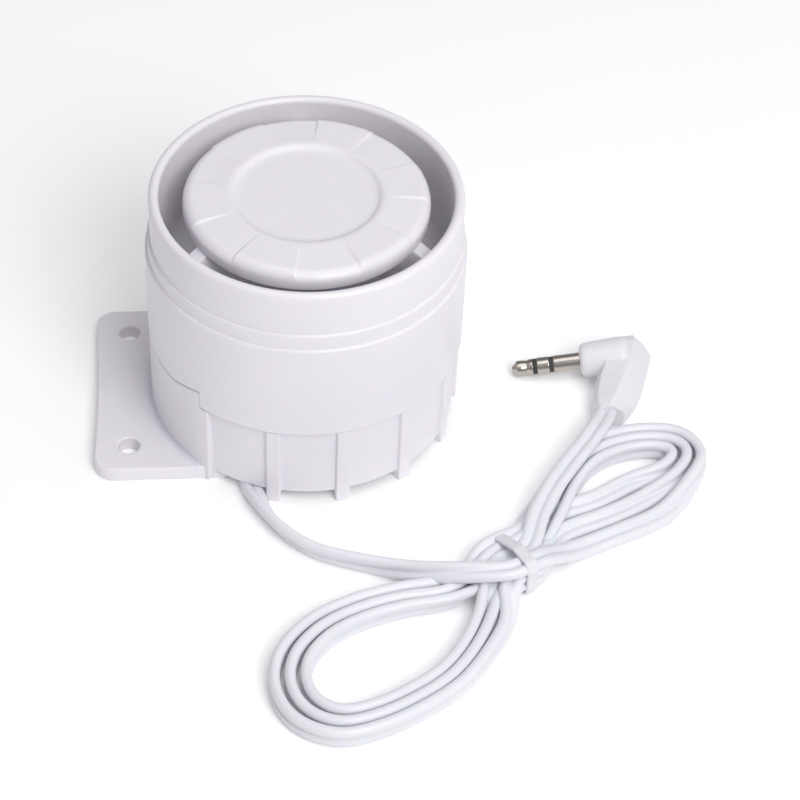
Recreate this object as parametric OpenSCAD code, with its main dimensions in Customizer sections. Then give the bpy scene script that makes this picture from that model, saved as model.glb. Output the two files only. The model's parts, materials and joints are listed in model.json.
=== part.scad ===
// Wired mini alarm siren: a piezo horn driver in a two-part drum with a wall flange,
// a flat twin lead tied in a hank, and a right-angle 3.5 mm stereo plug.
// Millimetres, +Z along the horn. The origin is at the middle of the siren's footprint.

/* [Drum] */
// Outer radius of the drum's skirt
drum_r = 31; // [30.8:0.1:31.4]
// Height from the wall face to the lip
siren_h = 53.7; // [53:0.1:55]
// Height at which the skirt starts
skirt_z = 19; // [18:0.1:19.5]
// Outer radius of the collar under the lip
collar_r = 29.95; // [29.8:0.05:30.1]
// Thickness of the skirt's wall
skirt_wall = 1.6; // [1.4:0.1:1.6]

/* [Horn] */
// Inner radius of the horn at the lip
mouth_r = 28; // [27.8:0.1:28]
// Radius of the throat
throat_r = 5.5; // [5:0.5:8]
// Radius of the reflector disc
disc_r = 23.5; // [22:0.5:23.5]
// Radius of the reflector's centre dish
dish_r = 14; // [13:0.5:14.5]
// Width of a reflector leg
leg_w = 3.3; // [2.5:0.1:4]

/* [Housing] */
// Outer radius of the housing's wall between the ribs
wall_r = 29.9; // [29.7:0.1:30]
// Outer radius of the ribs
rib_r = 30.7; // [30.5:0.1:30.9]
// Width of a rib
rib_w = 2.8; // [2:0.2:3.2]
// Height of the gap under the wall between the feet
foot_h = 2.5; // [2.4:0.1:3]

/* [Flange] */
// Reach of the flange from the drum's axis
flange_reach = 42.4; // [41:0.2:44]
// Width of the flange
flange_w = 46; // [45:1:48]
// Thickness of the flange
flange_t = 3.2; // [2.6:0.2:4]
// Distance between the two screw holes
hole_gap = 32.6; // [31:0.2:34]
// Radius of a screw hole
hole_r = 2.05; // [1.8:0.05:2.4]

/* [Plug] */
// Radius of the jack
jack_r = 1.75; // [1.7:0.05:1.8]
// Length of the jack
jack_len = 14; // [13.6:0.1:14.2]
// Angle at which the jack points below level
jack_droop = 10.5; // [8:0.5:10.5]
// Compass direction of the jack, from +X towards +Y
jack_turn = 177.5; // [175:0.5:180]

/* [Hidden] */
$fn = 96;

// Drum
siren_x = (flange_reach - drum_r) / 2;
step_low_z = 41.1;
step_high_z = 44.4;
band_r = 30.45;
lip_round = 0.9;
skirt_in_r = drum_r - skirt_wall;

// Horn bowl
bowl_r = 26.6;
bowl_round = 4;
bowl_wall = 1.6;
bowl_z = 34.2;
bowl_centre = [bowl_r - bowl_round, bowl_z + bowl_round];
bowl_under_z = bowl_z - bowl_wall;

// Reflector disc, with six shallow pockets between six raised sectors
disc_drop = 0.2;
disc_t = 4.2;
disc_round = 2;
pocket_first = 37;
pocket_half = 15;
pocket_depth = 0.55;
dish_depth = 1;
cone_top_r = 12;
cone_tip_r = 4.5;
cone_tip_z = bowl_z + 2;
leg_turns = [90, -30, -150];
leg_in_r = 7;
leg_sink = 0.5;
leg_top = [27.5, 46.8];
leg_foot = [27.1, 43];

// Keyed notch in the skirt on the flange side, as half angles about -X
notch_half = 46.5;
notch_flat_half = 32;
notch_z = 20.9;
notch_peak_z = 23;
notch_gap = 0.15;
notch_reach = drum_r * sin((notch_half - notch_flat_half) / 2);

// Housing
recess_r = 28.1;
floor_z = 11;
floor_t = 1.8;
spigot_r = 29.2;
spigot_in_r = 27.6;
spigot_top = 26;
sector_r = 30.9;
key_in_r = 28.6;
flange_round = 4;
flange_bow = 0.55;
hole_x = -35.5;
rib_count = 9;
rib_pitch = 360 / 14;
rib_first = -104.4;
edge_rib = 47.4;
rib_half = rib_w / rib_r * 90 / PI;

// Screw posts, bosses and the board
post_turns = [60, 180, 300];
post_at = 24.3;
post_r = 2.6;
post_sink = 0.8;
post_bore_r = 1.25;
post_bore = 10;
screw_clear_r = 1.6;
lug_turns = [0, 120, 240];
lug_at = 23.6;
lug_r = 2.4;
lug_bore_r = 1;
lug_bore = 2.2;
lug_clear_r = 1.1;
board = [34, 28, 1.2];
board_z = 16;
board_top = board_z + board[2];
boss_spots = [[14, 11], [14, -11], [-14, 11]];
boss_bore_r = 0.9;
boss_bore = 2.6;
board_hole_r = 1;
grommet_spot = [-12.2, -13];
grommet_r = 2.9;
grommet_lip = 0.8;
conductor_gap = 1.1;
conductor_r = 0.9;

// Screws, each as head radius, head height, shank radius and shank length
pcb_screw = [1.9, 1.3, 0.85, 3.4];
driver_screw = [1.9, 1.2, 0.95, 3.4];
housing_screw = [2.7, 1.8, 1.2, 11];
screw_slot = 0.5;

// Parts on the board
transformer_spot = [5, 2];
core = [13, 6, 10.2];
core_end_t = 1.8;
core_side_t = 1.3;
core_leg_r = 2.3;
bobbin_in_r = 2.4;
bobbin_r = 3.1;
bobbin_rim_r = 4.9;
bobbin_rim_t = 0.7;
bobbin_z = 1.9;
bobbin_h = 6.4;
winding_r = 4.6;
transistor_spot = [-10, 1.5];
transistor_body = [8, 8.4, 3.2];
transistor_hole = [4, 6];
transistor_hole_r = 1.2;
transistor_leg = [0.6, 1.8, 0.8];
transistor_first = 1.4;
transistor_pitch = 2.3;
ic_spot = [-9.8, -9.2];
ic_body = [9.6, 4.8, 3];
ic_rise = 0.5;
ic_pin = [0.6, 0.8, 1.6];
ic_first = 0.7;
ic_pitch = 2.5;
capacitor_spot = [14, -5.2];
capacitor_r = 2.5;
capacitor_h = 7.1;
resistor_spot = [5.5, -6.4];
resistor_pitch = 2.9;
resistor_r = 1.1;
resistor_len = 5;
diode_spot = [-13.8, 2];
diode_r = 1.3;
diode_len = 4.4;
axial_reach = 1.2;
axial_wire_r = 0.3;
wire_d = 1.2;
wire_sides = 8;
red_route = [[0.5, 12, 17.2], [0.5, 12, 20], [1, 11.6, 23.5], [1.8, 10.6, 27], [2.4, 9, 29.6],
    [2.6, 8.2, 31]];
black_route = [[-2, 12, 17.2], [-2.6, 12.4, 20], [-4.6, 12.8, 24], [-7, 12.8, 27.6],
    [-8.6, 12.4, 29.8], [-9.4, 11.6, 31.3]];

// Driver stack
plate_r = 20;
plate_gap = 0.3;
ring_in_r = 16.5;
gasket_w = 3;
gasket_t = 1;
plate_t = 0.3;
ceramic_r = 12.5;
ceramic_t = 0.25;
ring_t = 1.5;
plate_top = bowl_under_z - gasket_t;
ring_top = plate_top - plate_t;
ring_z = ring_top - ring_t;

// Lead: a flat twin, wider than it is thick
cord_w = 4.4;
cord_t = 2.2;
cord_sides = 8;
tail_route = [[-6.5, -13, 10.2], [-6.5, -13.7, 6.8], [-6.5, -15.6, 3.8], [-6.5, -18.6, 1.9],
    [-6.5, -22, 1.2], [-6.4, -26, 1.2], [-6, -30, 1.2], [-4.2, -33.8, 1.2], [-1.2, -38.2, 1.2],
    [4.6, -44.1, 1.2], [8.8, -46.2, 1.2], [15.5, -48.6, 1.3], [22, -51, 2.6], [29, -53, 4.6],
    [36, -53.4, 5.8]];
lead_route = [[66.6, -9.2, 3.6], [65, -12, 3.8], [63, -15, 4.4]];
hank_h = 7;
hank_lower = [[9.2, -79, 13.3], [12, -67, 9], [24, -77.5, 9.5], [42.3, -50.3, 6.6]];
hank_upper = [[73.9, -24.2, 11.2], [70, -30, 10], [42.3, -50.3, 6.6]];
tie_spot = [42.3, -50.3];
tie_turn = 25;
tie_w = 1.8;
tie_band = 0.8;
tie_hole = [13.2, 6.2];

// Plug
jack_base = [62.3, 3.2, 4.3];
barrel_r = 4;
barrel_len = 8.5;
arm_h = 8;
floor_cut = 100;
arm_spots = [[70.6, 4.2, 2.9], [74.3, 3.8, 2.9], [69.4, -9, 2.8], [66.6, -5, 2.8]];
tip_len = 4.3;
front_gap = 0.9;
ring_len = 2.5;
rear_gap = 0.9;
rod_r = 0.6;
tube_r = 1.1;
tail_r = 1.5;
tail_len = 6.5;

// Points of a circle arc in two dimensions
function arc(centre, r, from, to, steps) =
    [for (i = [0:steps]) let (a = from + (to - from) * i / steps)
        [centre[0] + r * cos(a), centre[1] + r * sin(a)]];

function unit(v) = v / norm(v);

// Direction of a route at one of its points
function heading(route, i) =
    unit(route[min(i + 1, len(route) - 1)] - route[max(i - 1, 0)]);

// The level sideways direction at a route point, for a band that lies flat
function sideways(route, i, flat) =
    let (h = heading(route, i)) abs(h[2]) > 0.9 || !flat ? flat_side(h) : unit([-h[1], h[0], 0]);

function flat_side(h) = abs(h[0]) > 0.9 ? unit(cross(h, [0, 0, 1])) : unit(cross(h, cross([1, 0, 0], h)));

function ring_points(route, i, w, t, sides, flat) =
    let (h = heading(route, i), s = sideways(route, i, flat), u = cross(h, s))
    [for (k = [0:sides - 1]) let (a = 360 * (k + 0.5) / sides)
        route[i] + s * w / 2 * cos(a) / cos(180 / sides) + u * t / 2 * sin(a) / cos(180 / sides)];

// One closed tube along a route, with a flattened section of width w and thickness t
module sweep(route, w, t, sides, flat = false) {
    rings = len(route);
    polyhedron(
        points = [for (i = [0:rings - 1]) each ring_points(route, i, w, t, sides, flat)],
        faces = concat(
            [[for (k = [0:sides - 1]) k]],
            [for (i = [0:rings - 2]) for (k = [0:sides - 1])
                [i * sides + k, (i + 1) * sides + k,
                    (i + 1) * sides + (k + 1) % sides, i * sides + (k + 1) % sides]],
            [[for (k = [sides - 1:-1:0]) (rings - 1) * sides + k]]));
}

// A ring or part of a ring, from its turn about +Z and its half angle
module ring_sector(turn, half, inner, outer, z, h) {
    rotate([0, 0, turn - half])
        rotate_extrude(angle = 2 * half)
            translate([inner, z])
                square([outer - inner, h]);
}

module tube(outer, inner, z, h) {
    translate([0, 0, z])
        difference() {
            cylinder(h = h, r = outer);
            translate([0, 0, -1])
                cylinder(h = h + 2, r = inner);
        }
}

// Everything of the siren itself stands about the drum's axis
module on_axis() {
    translate([siren_x, 0, 0])
        children();
}

module at_turns(turns, reach) {
    for (a = turns)
        rotate([0, 0, a])
            translate([reach, 0, 0])
                children();
}

// Turns a profile drawn in (tangent, height) round to one end of the notch
module at_notch_end(side) {
    rotate([0, 0, 180 + side * (notch_half + notch_flat_half) / 2])
        translate([recess_r - 1, 0, 0])
            rotate([90, 0, 90])
                linear_extrude(drum_r - recess_r + 3)
                    children();
}

// The cut in the skirt: level in the middle, rising to a peak at each end
module skirt_notch() {
    ring_sector(180, notch_half, spigot_r - 0.5, drum_r + 1, skirt_z - 1, notch_z - skirt_z + 1);
    for (side = [-1, 1])
        at_notch_end(side)
            polygon([
                [side * notch_reach, skirt_z - 1],
                [side * notch_reach, notch_peak_z],
                [-side * notch_reach, notch_z],
                [-side * notch_reach, skirt_z - 1]]);
}

// The smooth part of the housing's wall that fills the notch from below
module key_sector() {
    difference() {
        ring_sector(180, notch_half - notch_gap * 2, key_in_r, sector_r, 0, notch_peak_z + 1);
        ring_sector(180, notch_flat_half, recess_r - 1, drum_r + 1, notch_z - notch_gap, 9);
        for (side = [-1, 1])
            at_notch_end(side)
                polygon([
                    [side * (notch_reach + 1), notch_peak_z + 5],
                    [side * (notch_reach + 1), notch_peak_z - notch_gap],
                    [side * notch_reach, notch_peak_z - notch_gap],
                    [-side * notch_reach, notch_z - notch_gap],
                    [-side * (notch_reach + 0.5), notch_z - notch_gap],
                    [-side * (notch_reach + 0.5), notch_peak_z + 5]]);
    }
}

module flange_outline() {
    difference() {
        union() {
            for (side = [-1, 1])
                translate([flange_round - flange_reach, side * (flange_w / 2 - flange_round)])
                    circle(flange_round);
            translate([-flange_reach, flange_round - flange_w / 2])
                square([flange_reach - mouth_r / 2, flange_w - 2 * flange_round]);
            translate([flange_round - flange_reach, -flange_w / 2])
                square([flange_reach - flange_round - mouth_r / 2, flange_w]);
        }
        bow_r = (pow(flange_w / 2 - flange_round, 2) + pow(flange_bow, 2)) / (2 * flange_bow);
        translate([flange_bow - flange_reach - bow_r, 0])
            circle(bow_r, $fn = 720);
    }
}

module rear_housing() {
    color("white")
        on_axis() {
            difference() {
                union() {
                    rotate_extrude()
                        polygon([[0, foot_h], [wall_r, foot_h], [wall_r, skirt_z],
                            [spigot_r, skirt_z], [spigot_r, spigot_top],
                            [spigot_in_r, spigot_top], [spigot_in_r, floor_z + floor_t],
                            [0, floor_z + floor_t]]);
                    key_sector();
                    for (i = [0:rib_count - 1])
                        rib(rib_first + i * rib_pitch);
                    for (side = [-1, 1])
                        rib(180 + side * edge_rib);
                    linear_extrude(flange_t)
                        flange_outline();
                    for (p = boss_spots)
                        translate([p[0], p[1], floor_z + floor_t / 2])
                            cylinder(h = board_z - floor_z - floor_t / 2, r = post_r);
                }
                translate([0, 0, -1])
                    cylinder(h = floor_z + 1, r = recess_r);
                for (side = [-1, 1])
                    translate([hole_x, side * hole_gap / 2, -1])
                        cylinder(h = flange_t + 2, r = hole_r);
                at_turns(post_turns, post_at)
                    translate([0, 0, floor_z - 1])
                        cylinder(h = floor_t + 2, r = screw_clear_r);
                translate([grommet_spot[0], grommet_spot[1], floor_z - 1])
                    cylinder(h = floor_t + 2, r = grommet_r);
                for (p = boss_spots)
                    translate([p[0], p[1], board_z - boss_bore])
                        cylinder(h = boss_bore + 1, r = boss_bore_r);
            }
        }
}

// An upright rib with its foot, at a turn about +Z
module rib(turn) {
    ring_sector(turn, rib_half, key_in_r, rib_r, 0, skirt_z - notch_gap);
}

module horn_shell() {
    color("white")
        on_axis()
            difference() {
                union() {
                    rotate_extrude($fn = 128)
                        horn_profile();
                    at_turns(post_turns, post_at)
                        translate([0, 0, floor_z + floor_t])
                            cylinder(h = bowl_under_z + post_sink - floor_z - floor_t, r = post_r);
                    at_turns(lug_turns, lug_at)
                        translate([0, 0, ring_top])
                            cylinder(h = bowl_under_z + post_sink - ring_top, r = lug_r);
                }
                skirt_notch();
                at_turns(post_turns, post_at)
                    translate([0, 0, floor_z + floor_t - 1])
                        cylinder(h = post_bore + 1, r = post_bore_r);
                at_turns(lug_turns, lug_at)
                    translate([0, 0, ring_top - 1])
                        cylinder(h = lug_bore + 1, r = lug_bore_r);
            }
}

module horn_profile() {
    polygon(concat(
        [[skirt_in_r, skirt_z], [drum_r, skirt_z], [drum_r, step_low_z], [band_r, step_low_z],
            [band_r, step_high_z], [collar_r, step_high_z]],
        arc([collar_r - lip_round, siren_h - lip_round], lip_round, 0, 90, 4),
        arc([mouth_r + lip_round, siren_h - lip_round], lip_round, 90, 180, 4),
        arc(bowl_centre, bowl_round, 0, -90, 6),
        [[throat_r, bowl_z], [throat_r, bowl_under_z]],
        arc(bowl_centre, bowl_round + bowl_wall, -90, -36, 4),
        [[skirt_in_r, bowl_z + 2]]));
}

module reflector() {
    top = siren_h - disc_drop;
    under = top - disc_t;
    color("white")
        on_axis() {
            difference() {
                rotate_extrude()
                    polygon(concat(
                        [[0, cone_tip_z], [cone_tip_r, cone_tip_z], [cone_top_r, under], [disc_r - 1, under],
                            [disc_r, under + 1.2]],
                        arc([disc_r - disc_round, top - disc_round], disc_round, 0, 90, 5),
                        [[dish_r + 1, top], [dish_r, top - 0.1], [dish_r - 1.5, top - 0.7],
                            [0, top - dish_depth]]));
                for (i = [0:5])
                    ring_sector_cut(pocket_first + i * 60, pocket_half, top);
            }
            for (a = leg_turns)
                rotate([0, 0, a])
                    translate([0, leg_w / 2, 0])
                        rotate([90, 0, 0])
                            linear_extrude(leg_w)
                                polygon([[leg_in_r, under + leg_sink], [disc_r - 1, under + leg_sink],
                                    [disc_r - 1, under], leg_top, leg_foot, [leg_in_r, leg_foot[1]]]);
        }
}

// A pocket between two raised sectors of the disc, deepest at the rim
module ring_sector_cut(turn, half, top) {
    rotate([0, 0, turn - half])
        rotate_extrude(angle = 2 * half)
            polygon([[dish_r + 1.5, top], [disc_r + 1, top - pocket_depth], [disc_r + 1, top + 1],
                [dish_r + 1.5, top + 1]]);
}

module cord_grommet() {
    color("white")
        on_axis()
            translate([grommet_spot[0], grommet_spot[1], 0])
                difference() {
                    union() {
                        translate([0, 0, floor_z - grommet_lip])
                            cylinder(h = grommet_lip, r = grommet_r + grommet_lip);
                        translate([0, 0, floor_z])
                            cylinder(h = floor_t, r = grommet_r);
                        translate([0, 0, floor_z + floor_t])
                            cylinder(h = grommet_lip, r = grommet_r + grommet_lip);
                    }
                    for (side = [-1, 1])
                        translate([side * conductor_gap, 0, floor_z - 2])
                            cylinder(h = floor_t + 4, r = conductor_r);
                }
}

module driver_ring() {
    color("black")
        on_axis()
            difference() {
                union() {
                    tube(plate_r + plate_gap, ring_in_r, ring_z, ring_t);
                    at_turns(lug_turns, lug_at)
                        translate([0, 0, ring_z])
                            cylinder(h = ring_t, r = lug_r);
                    at_turns(lug_turns, plate_r - 1)
                        translate([0, -lug_r, ring_z])
                            cube([lug_at - plate_r + 1, 2 * lug_r, ring_t]);
                }
                at_turns(lug_turns, lug_at)
                    translate([0, 0, ring_z - 1])
                        cylinder(h = ring_t + 2, r = lug_clear_r);
            }
}

module driver_gasket() {
    color("dimgray")
        on_axis()
            tube(plate_r, plate_r - gasket_w, plate_top, gasket_t);
}

module piezo_plate() {
    color("goldenrod")
        on_axis()
            translate([0, 0, ring_top])
                cylinder(h = plate_t, r = plate_r);
}

module piezo_ceramic() {
    color("silver")
        on_axis()
            translate([0, 0, ring_top - ceramic_t])
                cylinder(h = ceramic_t, r = ceramic_r);
}

module pcb() {
    color("darkgreen")
        on_axis()
            difference() {
                translate([-board[0] / 2, -board[1] / 2, board_z])
                    cube(board);
                for (p = boss_spots)
                    translate([p[0], p[1], board_z - 1])
                        cylinder(h = board[2] + 2, r = board_hole_r);
            }
}

// The transformer stands at one place on the board
module at_transformer() {
    on_axis()
        translate([transformer_spot[0], transformer_spot[1], board_top])
            children();
}

module transformer_core() {
    color("dimgray")
        at_transformer() {
            window = core[2] - 2 * core_end_t;
            for (z = [0, core[2] - core_end_t])
                translate([-core[0] / 2, -core[1] / 2, z])
                    cube([core[0], core[1], core_end_t]);
            for (x = [-core[0] / 2, core[0] / 2 - core_side_t])
                translate([x, -core[1] / 2, core_end_t])
                    cube([core_side_t, core[1], window]);
            translate([0, 0, core_end_t])
                cylinder(h = window, r = core_leg_r);
        }
}

module transformer_bobbin() {
    color("ivory")
        at_transformer() {
            tube(bobbin_r, bobbin_in_r, bobbin_z, bobbin_h);
            for (z = [bobbin_z, bobbin_z + bobbin_h - bobbin_rim_t])
                tube(bobbin_rim_r, bobbin_in_r, z, bobbin_rim_t);
        }
}

module transformer_winding() {
    color("sienna")
        at_transformer()
            tube(winding_r, bobbin_r, bobbin_z + bobbin_rim_t, bobbin_h - 2 * bobbin_rim_t);
}

module transistor() {
    color("darkslategray")
        on_axis()
            translate([transistor_spot[0], transistor_spot[1], board_top]) {
                difference() {
                    cube(transistor_body);
                    translate([transistor_hole[0], transistor_hole[1], -1])
                        cylinder(h = transistor_body[2] + 2, r = transistor_hole_r);
                }
                for (i = [0:2])
                    translate([transistor_first + i * transistor_pitch, -transistor_leg[1], 0])
                        cube(transistor_leg);
            }
}

module siren_ic() {
    color("darkslategray")
        on_axis()
            translate([ic_spot[0], ic_spot[1], board_top]) {
                translate([0, ic_pin[1], ic_rise])
                    cube(ic_body);
                for (i = [0:3])
                    for (y = [0, ic_pin[1] + ic_body[1]])
                        translate([ic_first + i * ic_pitch, y, 0])
                            cube(ic_pin);
            }
}

module capacitor() {
    color("navy")
        on_axis()
            translate([capacitor_spot[0], capacitor_spot[1], board_top])
                rotate_extrude()
                    polygon([[0, 0], [capacitor_r - 0.1, 0], [capacitor_r, 0.4],
                        [capacitor_r - 0.3, 0.9], [capacitor_r, 1.4], [capacitor_r, capacitor_h - 0.3],
                        [capacitor_r - 0.3, capacitor_h], [capacitor_r - 0.9, capacitor_h],
                        [capacitor_r - 1, capacitor_h - 0.2], [0, capacitor_h - 0.2]]);
}

// An axial part lying along X, with its two leads down to the board
module axial(body_r, body_len) {
    rise = body_r + 0.2;
    translate([-body_len / 2, 0, rise])
        rotate([0, 90, 0])
            cylinder(h = body_len, r = body_r);
    for (side = [-1, 1]) {
        translate([side * (body_len + axial_reach) / 2, 0, rise])
            rotate([0, 90, 0])
                cylinder(h = axial_reach, r = axial_wire_r, center = true);
        translate([side * (body_len / 2 + axial_reach), 0, 0])
            cylinder(h = rise + axial_wire_r, r = axial_wire_r);
    }
}

module resistors() {
    color("tan")
        on_axis()
            for (i = [0:2])
                translate([resistor_spot[0], resistor_spot[1] - i * resistor_pitch, board_top])
                    axial(resistor_r, resistor_len);
}

module diode() {
    color("black")
        on_axis()
            translate([diode_spot[0], diode_spot[1], board_top])
                rotate([0, 0, 90])
                    axial(diode_r, diode_len);
}

// A pan-head screw that points up from its seat
module screw(size) {
    head_r = size[0];
    head_h = size[1];
    shank_r = size[2];
    shank_len = size[3];
    difference() {
        union() {
            rotate_extrude()
                polygon([[0, -head_h], [head_r * 0.7, -head_h], [head_r, -head_h * 0.5],
                    [head_r, 0], [0, 0]]);
            cylinder(h = shank_len - shank_r, r = shank_r);
            translate([0, 0, shank_len - shank_r])
                cylinder(h = shank_r, r1 = shank_r, r2 = 0.2);
        }
        for (a = [0, 90])
            rotate([0, 0, a])
                translate([-head_r * 0.6, -screw_slot / 2, -head_h - 1])
                    cube([head_r * 1.2, screw_slot, 1.6]);
    }
}

module pcb_screws() {
    color("silver")
        on_axis()
            for (p = boss_spots)
                translate([p[0], p[1], board_top])
                    rotate([180, 0, 0])
                        screw(pcb_screw);
}

module driver_screws() {
    color("silver")
        on_axis()
            at_turns(lug_turns, lug_at)
                translate([0, 0, ring_z])
                    screw(driver_screw);
}

module housing_screws() {
    color("silver")
        on_axis()
            at_turns(post_turns, post_at)
                translate([0, 0, floor_z])
                    screw(housing_screw);
}

// A thin insulated wire along a route of round points about the drum's axis
module wire(route) {
    on_axis()
        sweep(route, wire_d, wire_d, wire_sides);
}

module piezo_wire_red() {
    color("red")
        wire(red_route);
}

module piezo_wire_black() {
    color("black")
        wire(black_route);
}

module supply_wires() {
    color("white")
        on_axis()
            for (side = [-1, 1])
                translate([grommet_spot[0] + side * conductor_gap, grommet_spot[1], floor_z - grommet_lip])
                    cylinder(h = board_z - floor_z + grommet_lip, r = conductor_r);
}

module cord_tail() {
    color("white")
        sweep(tail_route, cord_w, cord_t, cord_sides, true);
}

module plug_lead() {
    color("white")
        sweep(lead_route, cord_w, cord_t, cord_sides, true);
}

// The outline of one end of the hank, round about the ends of its loops
module lobe(spots) {
    hull()
        for (s = spots)
            translate([s[0], s[1]])
                circle(s[2], $fn = 48);
}

module at_tie() {
    translate([tie_spot[0], tie_spot[1], 0])
        rotate([0, 0, tie_turn])
            children();
}

module cord_hank() {
    color("white")
        union() {
            difference() {
                linear_extrude(hank_h)
                    union() {
                        lobe(hank_lower);
                        lobe(hank_upper);
                    }
                at_tie()
                    translate([-tie_w / 2, -tie_hole[0], -1])
                        cube([tie_w, 2 * tie_hole[0], hank_h + 2]);
            }
            at_tie()
                translate([-tie_w / 2, -tie_hole[0] / 2, tie_band])
                    cube([tie_w, tie_hole[0], tie_hole[1]]);
        }
}

module cord_tie() {
    color("whitesmoke")
        at_tie()
            difference() {
                translate([-tie_w / 2, -tie_hole[0] / 2 - tie_band, 0])
                    cube([tie_w, tie_hole[0] + 2 * tie_band, tie_hole[1] + 2 * tie_band]);
                translate([-tie_w, -tie_hole[0] / 2, tie_band])
                    cube([2 * tie_w, tie_hole[0], tie_hole[1]]);
            }
}

// The plug's own line: local +Z points from the barrel's face to the jack's tip
module on_jack() {
    translate(jack_base)
        rotate([0, 90 + jack_droop, jack_turn])
            children();
}

module plug_body() {
    color("white")
        difference() {
            union() {
                on_jack()
                    translate([0, 0, -barrel_len])
                        cylinder(h = barrel_len, r = barrel_r);
                hull()
                    for (s = arm_spots)
                        translate([s[0], s[1], 0])
                            cylinder(h = arm_h, r = s[2], $fn = 32);
            }
            on_jack()
                translate([0, 0, -tail_len])
                    cylinder(h = tail_len + 1, r = tail_r);
            translate([0, -floor_cut / 2, -floor_cut])
                cube(floor_cut);
        }
}

// The sleeve is bright outside the barrel and has a thinner tail inside it
module jack_sleeve() {
    rear = jack_len - tip_len - front_gap - ring_len - rear_gap;
    color("silver")
        on_jack() {
            tube(jack_r, tube_r, 0, rear);
            tube(tail_r, tube_r, -tail_len, tail_len);
        }
}

module jack_insulator_rear() {
    rear = jack_len - tip_len - front_gap - ring_len - rear_gap;
    color("black")
        on_jack()
            tube(jack_r, tube_r, rear, rear_gap);
}

module jack_ring() {
    color("silver")
        on_jack()
            tube(jack_r, tube_r, jack_len - tip_len - front_gap - ring_len, ring_len);
}

// The front washer and the tube that keeps the tip's rod clear of the ring and sleeve
module jack_insulator_front() {
    front = jack_len - tip_len - front_gap;
    color("black")
        on_jack() {
            tube(jack_r, rod_r, front, front_gap);
            tube(tube_r, rod_r, -tail_len, front + tail_len);
        }
}

module jack_tip() {
    color("silver")
        on_jack() {
            translate([0, 0, -tail_len])
                cylinder(h = jack_len - tip_len + tail_len, r = rod_r);
            translate([0, 0, jack_len - tip_len])
                rotate_extrude()
                    polygon([[0, 0], [jack_r, 0], [jack_r, 0.5], [jack_r - 0.45, 1.2],
                        [jack_r - 0.1, 2], [jack_r - 0.05, 3.2], [0.5, tip_len], [0, tip_len]]);
        }
}

rear_housing();
horn_shell();
reflector();
cord_grommet();
driver_ring();
driver_gasket();
piezo_plate();
piezo_ceramic();
pcb();
transformer_core();
transformer_bobbin();
transformer_winding();
transistor();
siren_ic();
capacitor();
resistors();
diode();
pcb_screws();
driver_screws();
housing_screws();
piezo_wire_red();
piezo_wire_black();
supply_wires();
cord_tail();
cord_hank();
cord_tie();
plug_lead();
plug_body();
jack_sleeve();
jack_ring();
jack_tip();
jack_insulator_rear();
jack_insulator_front();
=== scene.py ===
"""Looks of a wired mini alarm siren: horn drum, ribbed housing, tied flat lead and stereo plug.

Blender works in metres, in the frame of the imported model. Sizes below are in millimetres unless a
comment says metres, and MM turns them into metres.
"""
import json
import math

import bmesh
import bpy
from mathutils import Matrix, Vector


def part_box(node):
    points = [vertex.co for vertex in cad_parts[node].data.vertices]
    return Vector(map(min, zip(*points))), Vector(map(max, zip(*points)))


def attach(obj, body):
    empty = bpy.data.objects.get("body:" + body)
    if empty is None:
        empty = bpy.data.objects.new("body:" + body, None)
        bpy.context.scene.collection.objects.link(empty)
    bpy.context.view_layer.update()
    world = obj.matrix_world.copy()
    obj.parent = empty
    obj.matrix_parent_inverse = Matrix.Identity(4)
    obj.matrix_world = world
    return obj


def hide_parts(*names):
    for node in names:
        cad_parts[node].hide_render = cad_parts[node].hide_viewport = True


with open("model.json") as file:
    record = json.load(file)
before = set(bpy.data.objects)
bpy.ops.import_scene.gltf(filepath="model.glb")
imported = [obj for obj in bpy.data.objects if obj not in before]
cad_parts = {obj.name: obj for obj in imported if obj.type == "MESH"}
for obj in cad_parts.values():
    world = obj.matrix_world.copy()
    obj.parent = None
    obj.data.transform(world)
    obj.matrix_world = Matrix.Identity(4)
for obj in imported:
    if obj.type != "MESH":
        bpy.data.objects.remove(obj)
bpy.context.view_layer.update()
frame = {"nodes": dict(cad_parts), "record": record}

MM = 0.001
UP = Vector((0, 0, 1))
# Edges that turn by more than this many degrees stay crisp
SHARP = 38


# ---------------------------------------------------------------- camera

def make_camera():
    """A long lens that looks down on the siren from the front; places in metres."""
    elevation, azimuth, roll = math.radians(44.48), math.radians(6.23), math.radians(2.79)
    aim = Vector((0.0250, -0.0023, -0.0002))
    distance = 0.5
    forward = Vector((math.sin(azimuth) * math.cos(elevation),
                      math.cos(azimuth) * math.cos(elevation), -math.sin(elevation)))
    level = forward.cross(UP).normalized()
    top = level.cross(forward)
    right = level * math.cos(roll) + top * math.sin(roll)
    data = bpy.data.cameras.new("camera")
    data.lens = 110.33
    data.sensor_width = 36
    data.clip_start = 0.01
    camera = bpy.data.objects.new("camera", data)
    turn = Matrix((right, right.cross(forward), -forward)).transposed().to_4x4()
    camera.matrix_world = Matrix.Translation(aim - forward * distance) @ turn
    bpy.context.scene.collection.objects.link(camera)
    bpy.context.scene.camera = camera


# ---------------------------------------------------------------- materials

def noise(nodes, links, where, scale, detail=3.0, rough=0.55):
    """A noise texture in object space, in features per metre."""
    texture = nodes.new("ShaderNodeTexNoise")
    texture.inputs["Scale"].default_value = scale
    texture.inputs["Detail"].default_value = detail
    texture.inputs["Roughness"].default_value = rough
    links.new(where.outputs["Object"], texture.inputs["Vector"])
    return texture


def spread(nodes, links, source, low, high, start=0.35, stop=0.65):
    """Maps a value's useful range on to low..high."""
    node = nodes.new("ShaderNodeMapRange")
    node.inputs["From Min"].default_value = start
    node.inputs["From Max"].default_value = stop
    node.inputs["To Min"].default_value = low
    node.inputs["To Max"].default_value = high
    links.new(source, node.inputs["Value"])
    return node.outputs["Result"]


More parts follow.
